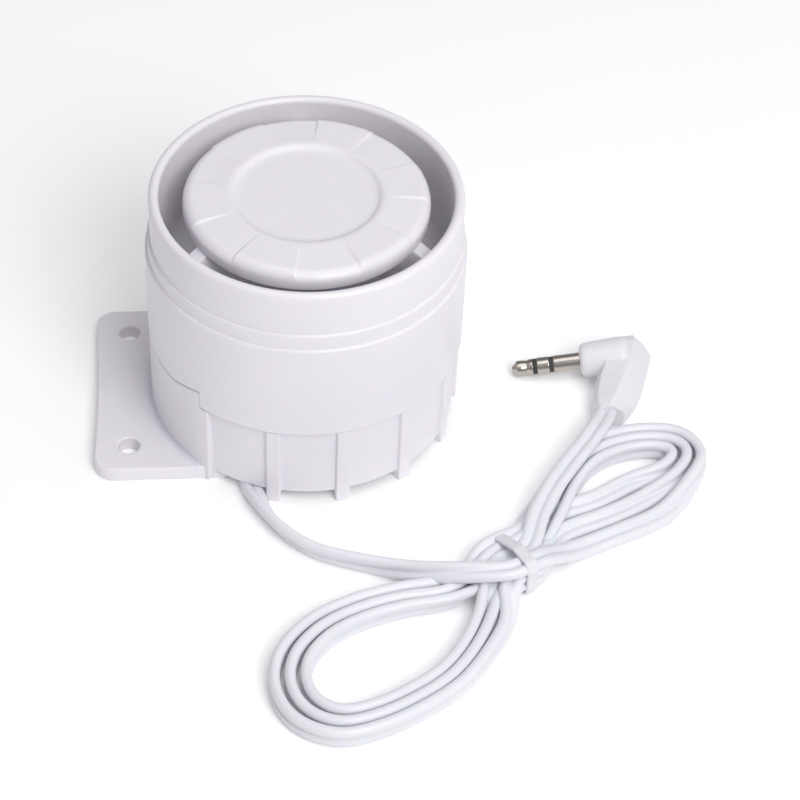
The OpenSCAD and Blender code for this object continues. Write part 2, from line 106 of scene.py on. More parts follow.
def blend_colour(nodes, links, factor, first, second):
    """Mixes two colours, each a socket or three numbers."""
    node = nodes.new("ShaderNodeMix")
    node.data_type = "RGBA"
    for name, value in (("A", first), ("B", second)):
        socket = [s for s in node.inputs if s.name == name and s.type == "RGBA"][0]
        if isinstance(value, bpy.types.NodeSocket):
            links.new(value, socket)
        else:
            socket.default_value = (*value, 1)
    links.new(factor, node.inputs["Factor"])
    return [s for s in node.outputs if s.type == "RGBA"][0]


def surface(name, colour, shade, rough, rough_spread=0.05, metal=0.0, sheen_scale=70,
            grain=2500, grain_depth=0.006, edge_wear_and_highlight=None, coat=0.0, soft=0.0, specular=0.5):
    """One finish: mottled colour, uneven gloss, fine bump, and lighter edges for wear and a painted
    highlight.

    The scales count features per metre, and the depths are in millimetres.
    """
    edge_start, edge_full = 0.53, 0.62
    scatter_depth, bump_strength = 2, 0.35
    lighter = [min(1, c * 1.05) for c in colour]
    material = bpy.data.materials.new(name)
    material.use_nodes = True
    nodes, links = material.node_tree.nodes, material.node_tree.links
    shader = nodes["Principled BSDF"]
    shader.inputs["Metallic"].default_value = metal
    shader.inputs["Coat Weight"].default_value = coat
    shader.inputs["Subsurface Weight"].default_value = soft
    shader.inputs["Subsurface Scale"].default_value = scatter_depth * MM
    shader.inputs["Specular IOR Level"].default_value = specular
    where = nodes.new("ShaderNodeTexCoord")
    broad = noise(nodes, links, where, sheen_scale)
    mottling = spread(nodes, links, broad.outputs["Fac"], 0, 1)
    mottled = blend_colour(nodes, links, mottling, colour, shade)
    edges = nodes.new("ShaderNodeNewGeometry")
    # Convex edges take the lighter edge colour: a painted highlight on the white plastics, wear on the
    # metals and dark parts
    wear_and_highlight_mask = spread(nodes, links, edges.outputs["Pointiness"], 0, 1, edge_start, edge_full)
    final = blend_colour(nodes, links, wear_and_highlight_mask, mottled, edge_wear_and_highlight or lighter)
    links.new(final, shader.inputs["Base Color"])
    patches = noise(nodes, links, where, sheen_scale * 9, detail=5)
    gloss = spread(nodes, links, patches.outputs["Fac"], rough - rough_spread, rough + rough_spread)
    links.new(gloss, shader.inputs["Roughness"])
    fine = noise(nodes, links, where, grain, detail=6, rough=0.6)
    bump = nodes.new("ShaderNodeBump")
    bump.inputs["Strength"].default_value = bump_strength
    bump.inputs["Distance"].default_value = grain_depth * MM
    links.new(fine.outputs["Fac"], bump.inputs["Height"])
    links.new(bump.outputs["Normal"], shader.inputs["Normal"])
    return material


def make_materials():
    """Every finish by its slot's name, from colour, darker shade and roughness."""
    return {
        # The white plastics' lighter edges, given here for white_abs and colour times 1.05 for the others,
        # are a painted highlight
        "white_abs": surface("white_abs", (0.80, 0.775, 0.815), (0.79, 0.764, 0.807), 0.34, 0.03,
                             grain_depth=0.002, edge_wear_and_highlight=(0.81, 0.785, 0.825), soft=0.14),
        "white_rubber": surface("white_rubber", (0.74, 0.73, 0.75), (0.70, 0.69, 0.71), 0.55),
        "black_plastic": surface("black_plastic", (0.012, 0.012, 0.013), (0.02, 0.02, 0.022), 0.6,
                                 edge_wear_and_highlight=(0.05, 0.05, 0.05), specular=0.3),
        "black_rubber": surface("black_rubber", (0.03, 0.03, 0.03), (0.045, 0.045, 0.045), 0.8,
                                grain=5000, grain_depth=0.05),
        "brass": surface("brass", (0.72, 0.52, 0.20), (0.62, 0.44, 0.17), 0.28, metal=1,
                         edge_wear_and_highlight=(0.85, 0.7, 0.4)),
        "silvered_ceramic": surface("silvered_ceramic", (0.72, 0.72, 0.70), (0.62, 0.62, 0.6), 0.45,
                                    metal=0.7, grain=6000, grain_depth=0.02),
        "green_board": surface("green_board", (0.02, 0.16, 0.05), (0.03, 0.2, 0.07), 0.35,
                               edge_wear_and_highlight=(0.35, 0.4, 0.25), coat=0.3),
        "ferrite": surface("ferrite", (0.06, 0.06, 0.065), (0.09, 0.09, 0.09), 0.6, grain=7000,
                           grain_depth=0.03, edge_wear_and_highlight=(0.16, 0.16, 0.16)),
        "ivory_plastic": surface("ivory_plastic", (0.75, 0.70, 0.55), (0.70, 0.64, 0.5), 0.5),
        "copper_enamel": surface("copper_enamel", (0.45, 0.13, 0.04), (0.35, 0.09, 0.03), 0.25,
                                 metal=0.6, coat=0.5),
        "blue_sleeve": surface("blue_sleeve", (0.02, 0.04, 0.18), (0.03, 0.05, 0.22), 0.3),
        "tan_lacquer": surface("tan_lacquer", (0.62, 0.45, 0.26), (0.55, 0.38, 0.22), 0.35, coat=0.3),
        "zinc_steel": surface("zinc_steel", (0.66, 0.67, 0.68), (0.56, 0.57, 0.6), 0.32, metal=1,
                              edge_wear_and_highlight=(0.85, 0.85, 0.85)),
        "red_pvc": surface("red_pvc", (0.5, 0.02, 0.015), (0.42, 0.018, 0.012), 0.4),
        "black_pvc": surface("black_pvc", (0.02, 0.02, 0.02), (0.03, 0.03, 0.03), 0.4),
        "white_pvc": surface("white_pvc", (0.76, 0.76, 0.80), (0.74, 0.74, 0.785), 0.36, 0.03,
                             sheen_scale=120, grain_depth=0.002, soft=0.08),
        "tie_vinyl": surface("tie_vinyl", (0.74, 0.74, 0.775), (0.72, 0.72, 0.755), 0.45, sheen_scale=300),
        "plug_pvc": surface("plug_pvc", (0.75, 0.745, 0.78), (0.735, 0.73, 0.765), 0.42, 0.03,
                            sheen_scale=150, grain_depth=0.003, soft=0.08),
        "nickel": surface("nickel", (0.50, 0.46, 0.415), (0.46, 0.42, 0.38), 0.24, 0.03, metal=1,
                          sheen_scale=300, grain=9000, grain_depth=0.0004, edge_wear_and_highlight=(0.68, 0.65, 0.61)),
    }


# ---------------------------------------------------------------- mesh tools

def shade_smooth(mesh, sharp=SHARP):
    """Smooth shading, broken at the edges over the sharp angle."""
    for polygon in mesh.polygons:
        polygon.use_smooth = True
    mesh.set_sharp_from_angle(angle=math.radians(sharp))


def make_object(name, verts, faces, material, sharp=SHARP):
    """A smooth-shaded object whose edges over the sharp angle stay crisp."""
    weld = 0.0002
    mesh = bpy.data.meshes.new(name)
    mesh.from_pydata([tuple(v) for v in verts], [], faces)
    skin = bmesh.new()
    skin.from_mesh(mesh)
    bmesh.ops.remove_doubles(skin, verts=skin.verts, dist=weld * MM)
    bmesh.ops.recalc_face_normals(skin, faces=skin.faces)
    skin.to_mesh(mesh)
    skin.free()
    shade_smooth(mesh, sharp)
    mesh.materials.append(material)
    piece = bpy.data.objects.new(name, mesh)
    bpy.context.scene.collection.objects.link(piece)
    return piece


def join(name, parts):
    """Merges meshes into the first one's object."""
    bpy.ops.object.select_all(action="DESELECT")
    for part in parts:
        part.select_set(True)
    bpy.context.view_layer.objects.active = parts[0]
    bpy.ops.object.join()
    parts[0].name = name
    return parts[0]


def rounded(corners, steps):
    """A closed outline from (x, y, radius) corners, with an arc at each corner that has a radius.

    A point just beyond each end of an arc keeps the shading of the straight parts flat. The number of
    points depends on the corners' count and radii alone, so outlines that vary with an angle still match.
    """
    guard = 0.12
    outline = []
    count = len(corners)

    def sides(i):
        here = Vector(corners[i % count][:2])
        return Vector(corners[(i - 1) % count][:2]) - here, Vector(corners[(i + 1) % count][:2]) - here

    def reach_of(i):
        before, after = sides(i)
        radius = corners[i % count][2]
        return radius / math.tan(before.angle(after) / 2) if radius > 0 else 0.0

    for i, (x, y, radius) in enumerate(corners):
        here = Vector((x, y))
        if radius <= 0:
            outline.append((x, y))
            continue
        before, after = sides(i)
        reach = reach_of(i)
        spare = [max(0.0, leg.length - reach - other) for leg, other in
                 ((before, reach_of(i - 1)), (after, reach_of(i + 1)))]
        before.normalize()
        after.normalize()
        half = before.angle(after) / 2
        outline.append(tuple(here + before * (reach + min(guard, spare[0] / 3))))
        centre = here + (before + after).normalized() * radius / math.sin(half)
        first = here + before * reach - centre
        second = here + after * reach - centre
        sweep = first.angle_signed(second)
        for k in range(steps + 1):
            spot = first.copy()
            spot.rotate(Matrix.Rotation(-sweep * k / steps, 2))
            outline.append(tuple(centre + spot))
        outline.append(tuple(here + after * (reach + min(guard, spare[1] / 3))))
    return outline


def loft_faces(size, rings, closed=False, open_outline=False):
    """Faces between rings of size points each; a loft that isn't closed gets a cap at each end."""
    faces = []
    for i in range(rings if closed else rings - 1):
        a, b = i * size, (i + 1) % rings * size
        for k in range(size - open_outline):
            n = (k + 1) % size
            faces.append((a + k, b + k, b + n, a + n))
    if not closed:
        faces += [tuple(range(size)), tuple(range(rings * size - 1, (rings - 1) * size - 1, -1))]
    return faces


def turned(name, ring_at, angles, material, sharp=SHARP):
    """A solid of revolution whose outline, in (radius, height), may change with the angle.

    An outline that starts and ends on the axis is left open there.
    """
    verts = []
    for angle in angles:
        c, s = math.cos(angle), math.sin(angle)
        ring = ring_at(angle)
        verts += [(r * c * MM, r * s * MM, z * MM) for r, z in ring]
    on_axis = ring[0][0] == 0 and ring[-1][0] == 0
    faces = loft_faces(len(ring), len(angles), closed=True, open_outline=on_axis)
    return make_object(name, verts, faces, material, sharp)


def full_turn(count, extra=()):
    """Evenly spread angles, in radians, and some extra ones given in degrees."""
    base = {round(360 * i / count, 4) for i in range(count)} | {round(e % 360, 4) for e in extra}
    return [math.radians(a) for a in sorted(base)]


def prism(name, outline, width, material, bevel):
    """An outline in the XZ plane, thickened along Y, with its edges rounded."""
    count = len(outline)
    verts = [(x * MM, side * width / 2 * MM, z * MM) for side in (-1, 1) for x, z in outline]
    faces = [tuple(range(count)), tuple(range(2 * count - 1, count - 1, -1))]
    faces += [(k, k + count, (k + 1) % count + count, (k + 1) % count) for k in range(count)]
    piece = make_object(name, verts, faces, material)
    solid = bmesh.new()
    solid.from_mesh(piece.data)
    bmesh.ops.bevel(solid, geom=solid.edges[:], offset=bevel * MM, segments=3, profile=0.5,
                    affect="EDGES", clamp_overlap=True)
    solid.to_mesh(piece.data)
    solid.free()
    shade_smooth(piece.data)
    return piece


def place(piece, matrix):
    """Moves a piece's own vertices, so that its object stays at the origin."""
    piece.data.transform(matrix)
    return piece


def bake(piece):
    """Turns the piece's modifiers into its mesh."""
    depsgraph = bpy.context.evaluated_depsgraph_get()
    mesh = bpy.data.meshes.new_from_object(piece.evaluated_get(depsgraph))
    piece.modifiers.clear()
    piece.data = mesh


def finish_piece(piece, slot, *nodes):
    """Rides the piece on the body and hides the nodes it stands for."""
    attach(piece, "root")
    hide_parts(*nodes)


# ---------------------------------------------------------------- drum, housing and reflector

# The drum's upright axis
AXIS = Matrix.Translation((sum(c[0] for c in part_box("horn_shell")) / 2, 0, 0))
# Radii and heights of the drum's skirt, its two steps, its lip, and the horn inside it
SKIRT_R, BAND_R, COLLAR_R = 31.0, 30.45, 29.95
BAND_Z, COLLAR_Z, LIP_Z = 41.1, 44.4, 53.7
SKIRT_IN_R, MOUTH_R, THROAT_R = 29.4, 28.0, 5.5
BOWL_Z, BOWL_UNDER_Z = 34.2, 32.6
# The skirt's lower edge is raised over the flange. It jumps to its peak at one angle from the flange's
# middle, in degrees, and slopes down to its level stretch until the other.
NOTCH_HALF, NOTCH_FLAT = 46.5, 32.0
SKIRT_Z, NOTCH_Z, NOTCH_PEAK = 19.0, 20.9, 23.0
# The housing's cup, its smooth sector, the spigot inside the drum, and its floor
CUP_R, RECESS_R, SECTOR_R = 29.9, 28.1, 30.9
SPIGOT_R, SPIGOT_IN_R, SPIGOT_TOP = 29.2, 27.6, 26
FLOOR_TOP, FLOOR_UNDER = 12.8, 11


def away_from_flange(angle):
    """Degrees round from the flange side, 0 to 180."""
    return abs(math.degrees(angle) % 360 - 180)


def notch_height(angle):
    """Height of the skirt's lower edge round the drum."""
    turn = away_from_flange(angle)
    if turn > NOTCH_HALF:
        return SKIRT_Z
    if turn < NOTCH_FLAT:
        return NOTCH_Z
    share = (turn - NOTCH_FLAT) / (NOTCH_HALF - NOTCH_FLAT)
    return NOTCH_Z + (NOTCH_PEAK - NOTCH_Z) * share


def notch_angles():
    """Extra places round the drum, in degrees, that keep the notch's corners crisp."""
    steps = [NOTCH_HALF + d for d in (-0.9, -0.35, -0.12, 0.12, 0.35, 0.9)]
    steps += [NOTCH_FLAT + d for d in (-1, 0, 1)]
    return [180 + side * s for side in (-1, 1) for s in steps]


def make_posts(turns, reach, low, finish):
    """Hollow screw posts under the bowl, one at each of the turns in degrees."""
    bore, outside, top = 1.25, 2.5, 33.4
    outline = rounded([(bore, low, 0.2), (outside, low, 0.3), (outside, top, 0), (bore, top, 0)], 3)
    out = Matrix.Translation((reach * MM, 0, 0))
    posts = []
    for turn in turns:
        piece = turned("post", lambda angle: outline, full_turn(32), finish)
        posts.append(place(piece, Matrix.Rotation(math.radians(turn), 4, "Z") @ out))
    return posts


def make_drum(finish):
    """The drum: lip, collar, two stepped bands, keyed skirt, and the horn's bowl and throat."""
    outline = rounded([
        (SKIRT_IN_R, SKIRT_Z, 0.25), (SKIRT_R, SKIRT_Z, 0.6), (SKIRT_R, BAND_Z, 0.5),
        (BAND_R, BAND_Z, 0.04), (BAND_R, COLLAR_Z, 0.44),
        (COLLAR_R, COLLAR_Z, 0.04), (COLLAR_R, LIP_Z, 0.95), (MOUTH_R, LIP_Z, 0.95),
        (27.75, 50.5, 3), (26.6, BOWL_Z, 4.0), (THROAT_R, BOWL_Z, 0.5), (THROAT_R, BOWL_UNDER_Z, 0.3),
        (24.6, BOWL_UNDER_Z, 2.5), (27.6, 35.6, 1.0), (SKIRT_IN_R, 36.2, 0)], 5)
    edge_top = SKIRT_Z + 1

    def ring_at(angle):
        rise = notch_height(angle) - SKIRT_Z
        return [(r, z + rise) if z < edge_top else (r, z) for r, z in outline]

    shell = turned("drum", ring_at, full_turn(240, notch_angles()), finish)
    housing_posts = make_posts((60, 180, 300), 24.3, FLOOR_TOP, finish)
    driver_posts = make_posts((0, 120, 240), 23.6, 31.3, finish)
    drum = join("drum", [shell] + housing_posts + driver_posts)
    place(drum, AXIS)
    finish_piece(drum, "white_abs", "horn_shell")


# The ribs' places in degrees: nine of fourteen even places, and one at each end of the smooth sector
RIB_TURNS = [-104.4 + k * 360 / 14 for k in range(9)] + [180 - 47.4, 180 + 47.4]
RIB_R, RIB_HALF = 30.7, 1.4
# A rib's side: distance past its half width, and the share of its height there
RIB_SHAPE = [(-0.6, 1.0), (-0.3, 0.985), (-0.14, 0.93), (-0.05, 0.8), (-0.01, 0.6), (0.01, 0.3),
             (0.06, 0.12), (0.14, 0.04), (0.3, 0.0)]


def rib_share(angle):
    """1 on a rib, 0 on the wall between ribs, with rounded sides."""
    nearest = min(abs((math.degrees(angle) - c + 180) % 360 - 180) for c in RIB_TURNS)
    side = math.radians(nearest) * RIB_R - RIB_HALF
    if side <= RIB_SHAPE[0][0]:
        return 1.0
    for (d0, s0), (d1, s1) in zip(RIB_SHAPE, RIB_SHAPE[1:]):
        if side <= d1:
            return s0 + (s1 - s0) * (side - d0) / (d1 - d0)
    return 0.0


def rib_angles():
    """Extra places round the cup, in degrees, for the points of every rib's sides."""
    offsets = [RIB_HALF + d for d, _ in RIB_SHAPE]
    return [c + side * math.degrees(o / RIB_R) for c in RIB_TURNS for side in (-1, 1) for o in offsets]


def make_cup(finish):
    """The housing's ribbed cup with its feet, smooth keyed sector, recessed floor and spigot."""
    foot_gap, seam = 2.5, 0.15
    rib_high, end_rib_high, end_rib_reach = 0.8, 1.0, 5

    def ring_at(angle):
        turn = away_from_flange(angle)
        if turn < NOTCH_HALF - 0.2:
            reach, low, top = SECTOR_R, 0.0, notch_height(angle) - seam
        else:
            share = rib_share(angle)
            height = end_rib_high if turn < NOTCH_HALF + end_rib_reach else rib_high
            reach, low, top = CUP_R + height * share, foot_gap * (1 - share), SKIRT_Z - seam
        return rounded([
            (RECESS_R, low, 0.3), (reach, low, 0.45), (reach, top, 0.25), (SPIGOT_R, top, 0.0),
            (SPIGOT_R, SPIGOT_TOP, 0.3), (SPIGOT_IN_R, SPIGOT_TOP, 0.3), (SPIGOT_IN_R, FLOOR_TOP, 0.4),
            (0, FLOOR_TOP, 0), (0, FLOOR_UNDER, 0), (RECESS_R, FLOOR_UNDER, 0.5)], 4)

    return turned("cup", ring_at, full_turn(240, notch_angles() + rib_angles()), finish)


def circle_spline(curve, x, y, radius):
    """Adds a round hole to a flat curve, as four Bezier quarters."""
    quarter_handle = 0.5523
    handle = radius * quarter_handle
    spline = curve.splines.new("BEZIER")
    spline.bezier_points.add(3)
    for k, point in enumerate(spline.bezier_points):
        a = math.pi / 2 * k
        c, s = math.cos(a), math.sin(a)
        point.co = (x + radius * c, y + radius * s, 0)
        point.handle_left = (x + radius * c + handle * s, y + radius * s - handle * c, 0)
        point.handle_right = (x + radius * c - handle * s, y + radius * s + handle * c, 0)
    spline.use_cyclic_u = True
    spline.resolution_u = 12


def make_flange(finish):
    """The wall flange with its bowed edge and two screw holes, all edges softened."""
    reach, half, thick, soft, corner_r = 42.4, 23.0, 3.2, 0.45, 4.0
    bow_depth, bow_half = 0.55, 19
    hole_x, hole_y, hole_r = -35.5, 16.3, 2.05
    inner_r, inner_x = 28.2, -16.4
    bow = [(-reach + bow_depth * (1 - (y / bow_half) ** 2), y) for y in range(16, -17, -4)]
    arc = [(inner_r * math.cos(math.radians(a)), inner_r * math.sin(math.radians(a)))
           for a in range(232, 127, -4)]
    inner = [(inner_x, -half)] + [p for p in arc if abs(p[1]) < half] + [(inner_x, half)]
    corners = [(x, y, 0) for x, y in bow] + [(-reach, -half, corner_r)]
    corners += [(x, y, 0) for x, y in inner] + [(-reach, half, corner_r)]
    outline = rounded(corners, 10)
    curve = bpy.data.curves.new("flange", "CURVE")
    curve.dimensions = "2D"
    curve.fill_mode = "BOTH"
    edge = curve.splines.new("POLY")
    edge.points.add(len(outline) - 1)
    for point, (x, y) in zip(edge.points, outline):
        point.co = (x, y, 0, 1)
    edge.use_cyclic_u = True
    for side in (-1, 1):
        circle_spline(curve, hole_x, side * hole_y, hole_r)
    curve.extrude = thick / 2 - soft
    curve.bevel_depth = soft
    curve.bevel_resolution = 4
    curve.offset = -soft
    holder = bpy.data.objects.new("flange", curve)
    bpy.context.scene.collection.objects.link(holder)
    mesh = bpy.data.meshes.new_from_object(holder.evaluated_get(bpy.context.evaluated_depsgraph_get()))
    bpy.data.objects.remove(holder)
    verts = [(v.co.x * MM, v.co.y * MM, (v.co.z + thick / 2) * MM) for v in mesh.vertices]
    faces = [tuple(p.vertices) for p in mesh.polygons]
    return make_object("flange", verts, faces, finish, sharp=30)


def make_fillet(finish):
    """The small round between the smooth sector and the flange, sunk a little into both."""
    foot, soft, reach = 3.15, 0.8, 30.85
    inside, below, half_turn = reach - 0.4, foot - 0.3, 45
    outer, upper = reach + soft, foot + soft
    arc = [(outer - soft * math.sin(math.radians(a)), upper - soft * math.cos(math.radians(a)))
           for a in range(0, 91, 15)]
    outline = [(inside, below), (outer, below)] + arc + [(inside, upper)]
    turns = [math.radians(180 + a) for a in range(-half_turn, half_turn + 1, 3)]
    verts = [(r * math.cos(angle) * MM, r * math.sin(angle) * MM, z * MM)
             for angle in turns for r, z in outline]
    return make_object("fillet", verts, loft_faces(len(outline), len(turns)), finish)


def make_housing(finish):
    """The cup, the flange and the round between them as one moulding, its flat faces shaded flat."""
    housing = join("housing", [make_cup(finish), make_flange(finish), make_fillet(finish)])
    weigh = housing.modifiers.new("flatten", "WEIGHTED_NORMAL")
    weigh.keep_sharp = True
    bake(housing)
    place(housing, AXIS)
    finish_piece(housing, "white_abs", "rear_housing")


# The borders of the reflector's twelve sectors, in degrees; every second sector is set down
SECTOR_EDGES = [-159, -129, -98, -67, -36, -6, 22, 53, 82, 110, 140, 170]
LOWERED = {e % 360 for e in SECTOR_EDGES[::2]}
SECTOR_DROP, STEP_HALF = 0.32, 0.7
DISC_TOP, DISC_R, DISC_UNDER, BROW_R = 53.35, 23.5, 49.4, 2.0


def sector_drop(angle):
    """How far a sector of the reflector is set down, 0 or 1 with a steep rounded step."""
    degrees = math.degrees(angle) % 360
    edges = sorted(e % 360 for e in SECTOR_EDGES)
    index = max((i for i, e in enumerate(edges) if e <= degrees), default=-1)
    start, stop = edges[index], edges[(index + 1) % len(edges)]
    near = min((degrees - start) % 360, (stop - degrees) % 360)
    share = min(1.0, 0.5 + near / STEP_HALF / 2)
    return share if start in LOWERED else 1 - share


def make_legs(finish):
    """Three legs that carry the disc and its cone on the horn's wall."""
    width, bevel, top, foot = 3.3, 0.3, DISC_UNDER + 0.4, 43.0
    outline = [(7, top), (22.4, top), (27.5, 46.9), (27.15, foot), (7.2, foot)]
    legs = []
    for turn in (90, -30, -150):
        leg = prism("leg", outline, width, finish, bevel)
        legs.append(place(leg, Matrix.Rotation(math.radians(turn), 4, "Z")))
    return legs


def make_reflector(finish):
    """The disc over the horn: centre dish, twelve sectors in steps, deflector cone and three legs."""
    dish_z, tip_z = 52.62, 36.2
    crown = [(0, dish_z), (6.0, dish_z), (12.2, 52.65), (12.6, 52.66), (13.3, 52.73), (13.7, 52.88),
             (13.95, 53.08), (14.2, 53.25), (14.6, DISC_TOP), (15.1, DISC_TOP + 0.06),
             (15.8, DISC_TOP + 0.04)]
    flat = [(r, DISC_TOP) for r in (16.6, 18.0, 19.6, 20.2, 20.5)]
    brow = [(DISC_R - BROW_R + BROW_R * math.sin(math.radians(a)),
             DISC_TOP - BROW_R + BROW_R * math.cos(math.radians(a))) for a in range(0, 91, 9)]
    below = [(DISC_R, DISC_UNDER + 0.5), (DISC_R - 0.15, DISC_UNDER + 0.12), (DISC_R - 0.6, DISC_UNDER),
             (12.5, DISC_UNDER), (11.6, DISC_UNDER - 0.5), (4.9, tip_z + 0.4), (4.4, tip_z), (0, tip_z)]
    drop_start, drop_full = 15.0, 20.5
    outline = crown + flat + brow + below
    count_top = len(crown) + len(flat) + len(brow)

    def ring_at(angle):
        drop = SECTOR_DROP * sector_drop(angle)
        ring = []
        for k, (r, z) in enumerate(outline):
            if k >= count_top or r <= drop_start:
                ring.append((r, z))
                continue
            depth = drop * min(1.0, (r - drop_start) / (drop_full - drop_start))
            steep = max(0.0, min(1.0, (DISC_TOP - z) / BROW_R))
            ring.append((r, z - depth * (1 - steep ** 2)))
        return ring

    beside = (-1.6, -0.8, -STEP_HALF, -0.3, 0.3, STEP_HALF, 0.8, 1.6)
    steps = [e + d for e in SECTOR_EDGES for d in beside]
    disc = turned("reflector", ring_at, full_turn(180, steps), finish, sharp=50)
    reflector = join("reflector", [disc] + make_legs(finish))
    place(reflector, AXIS)
    finish_piece(reflector, "white_abs", "reflector")


# ---------------------------------------------------------------- flat twin lead

CORD_W, CORD_T = 4.4, 2.2
# From the grommet, under the housing's wall and along the floor to the tie: x, y and z in metres, and
# the cord's tilt in degrees, which is 0 or 180 where it lies flat and 90 where it stands on edge
TAIL = [(-0.0065, -0.0130, 0.0102, -180), (-0.0065, -0.0137, 0.0068, -180),
        (-0.0065, -0.0156, 0.0038, -180), (-0.0065, -0.0186, 0.0019, -180),
        (-0.0065, -0.0220, 0.0013, -180), (-0.0062, -0.0250, 0.0013, -180),
        (-0.0058, -0.0276, 0.0014, -172), (-0.0050, -0.0304, 0.0020, -142),
        (-0.0040, -0.0334, 0.0022, -124), (-0.0026, -0.0360, 0.0023, -116),
        (-0.0008, -0.0388, 0.0023, -112), (0.0017, -0.0417, 0.0023, -110),
        (0.0047, -0.0443, 0.0023, -106), (0.0088, -0.0464, 0.0023, -102),
        (0.0140, -0.0482, 0.0023, -96), (0.0190, -0.0499, 0.0024, -84),
        (0.0240, -0.0521, 0.0034, -60), (0.0295, -0.0540, 0.0050, -34),
        (0.0355, -0.0550, 0.0060, -12)]
# From the tie over the far side of the hank to the plug, in metres
LEAD = [(0.0487, -0.0400, 0.0050), (0.0525, -0.0330, 0.0057), (0.0565, -0.0270, 0.0057),
        (0.0605, -0.0215, 0.0057), (0.0632, -0.0172, 0.0054), (0.0650, -0.0135, 0.0044),
        (0.0663, -0.0100, 0.0030), (0.0669, -0.0078, 0.0024)]
# The tie's middle, the way the hank runs through it, and the heights of the cord's layers inside
TIE = Vector((42.6, -49.4, 0))
TIE_TURN = math.radians(27)
LAYERS = [1.95, 4.15, 6.35]
# Where each pass goes through the tie: sideways place and layer
PASSES = [(-4.8, 2), (3.9, 0), (-4.7, 1), (3.9, 1), (-4.7, 0), (-0.3, 0), (-0.3, 1)]
TURNS = 3
# The middle turn's line round each end of the hank: x and y in millimetres, the tilt in degrees, and
# how far the inner turns sag inwards
UPPER_LOOP = [(53.0, -42.2, -12, 0), (63.0, -37.8, -14, 0), (71.2, -33.4, -24, 0),
              (78.2, -28.4, -60, 0.4), (81.3, -22.7, -88, 0.8), (79.2, -19.2, -90, 0.5),
              (72.9, -18.2, -90, 0), (66.0, -19.6, -90, 0), (60.0, -23.0, -90, 0),
              (55.0, -29.3, -80, 0), (50.5, -37.0, -60, 0)]
LOWER_LOOP = [(30.5, -56.1, -75, 0), (21.0, -57.9, -82, 0), (12.2, -60.6, -86, 0.2),
              (4.9, -64.8, -88, 0.5), (-0.1, -71.2, -90, 0.9), (-1.2, -77.7, -90, 1.2),
              (1.4, -84.0, -90, 1.2), (7.6, -87.2, -90, 0.6), (15.0, -85.6, -90, 0.2),
              (22.4, -81.8, -90, 0), (28.8, -77.2, -88, 0), (34.0, -70.6, -82, 0),
              (38.2, -62.6, -66, 0)]


def turn_gap(tilt):
    """Distance between neighbouring turns that lie side by side at this tilt."""
    room, least = 1.05, 0.01
    across, along = abs(math.sin(math.radians(tilt))), abs(math.cos(math.radians(tilt)))
    return room * min(CORD_T / max(across, least), CORD_W / max(along, least))


def rest_height(tilt):
    """Height of the cord's middle where it rests on the floor at this tilt."""
    clearance = 0.1
    return clearance + CORD_T / 2 + (CORD_W - CORD_T) / 2 * abs(math.sin(math.radians(tilt)))


def tie_points(index, rightwards):
    """The two points of one pass through the tie, a little before and after its middle."""
    before, after = -3, 3
    side, layer = PASSES[index]
    along = Vector((math.cos(TIE_TURN), math.sin(TIE_TURN), 0))
    across = Vector((-along.y, along.x, 0))
    spots = [TIE + along * step + across * side + UP * LAYERS[layer] for step in (before, after)]
    return [(*spot, 0) for spot in (spots if rightwards else spots[::-1])]


def loop_points(stations, turn):
    """One turn's points round one end of the hank; turn 0 is the innermost."""
    line = [TIE] + [Vector((x, y, 0)) for x, y, _, _ in stations] + [TIE]
    points = []
    for i, (x, y, tilt, sag) in enumerate(stations, 1):
        outward = (line[i + 1] - line[i - 1]).cross(UP).normalized()
        spot = line[i] + outward * ((turn - 1) * turn_gap(tilt) - sag * (2 - turn) / 2)
        points.append((spot.x, spot.y, rest_height(tilt), tilt))
    return points


def cord_knots():
    """Every control point of the cord, as x, y, z in millimetres and tilt in degrees."""
    knots = [(x / MM, y / MM, z / MM, tilt) for x, y, z, tilt in TAIL]
    for i, turn in enumerate(reversed(range(TURNS))):
        knots += tie_points(2 * i, True) + loop_points(UPPER_LOOP, turn)
        knots += tie_points(2 * i + 1, False) + loop_points(LOWER_LOOP, turn)
    knots += tie_points(2 * TURNS, True)
    return knots + [(x / MM, y / MM, z / MM, 0) for x, y, z in LEAD]


def between(p, q, start, stop, t):
    """The point at t on the straight way from p at start to q at stop."""
    return p * ((stop - t) / (stop - start)) + q * ((t - start) / (stop - start))


def curve_through(knots, cuts=16):
    """A centripetal Catmull-Rom curve through the knots, each stretch cut into equal pieces."""
    padded = [knots[0] * 2 - knots[1]] + knots + [knots[-1] * 2 - knots[-2]]
    fine = []
    for a, b, c, d in zip(padded, padded[1:], padded[2:], padded[3:]):
        t0 = 0.0
        t1 = t0 + math.sqrt((b.xyz - a.xyz).length)
        t2 = t1 + math.sqrt((c.xyz - b.xyz).length)
        t3 = t2 + math.sqrt((d.xyz - c.xyz).length)
        for k in range(cuts):
            t = t1 + (t2 - t1) * k / cuts
            ab, bc, cd = between(a, b, t0, t1, t), between(b, c, t1, t2, t), between(c, d, t2, t3, t)
            abc, bcd = between(ab, bc, t0, t2, t), between(bc, cd, t1, t3, t)
            fine.append(between(abc, bcd, t1, t2, t))
    return fine + [knots[-1]]


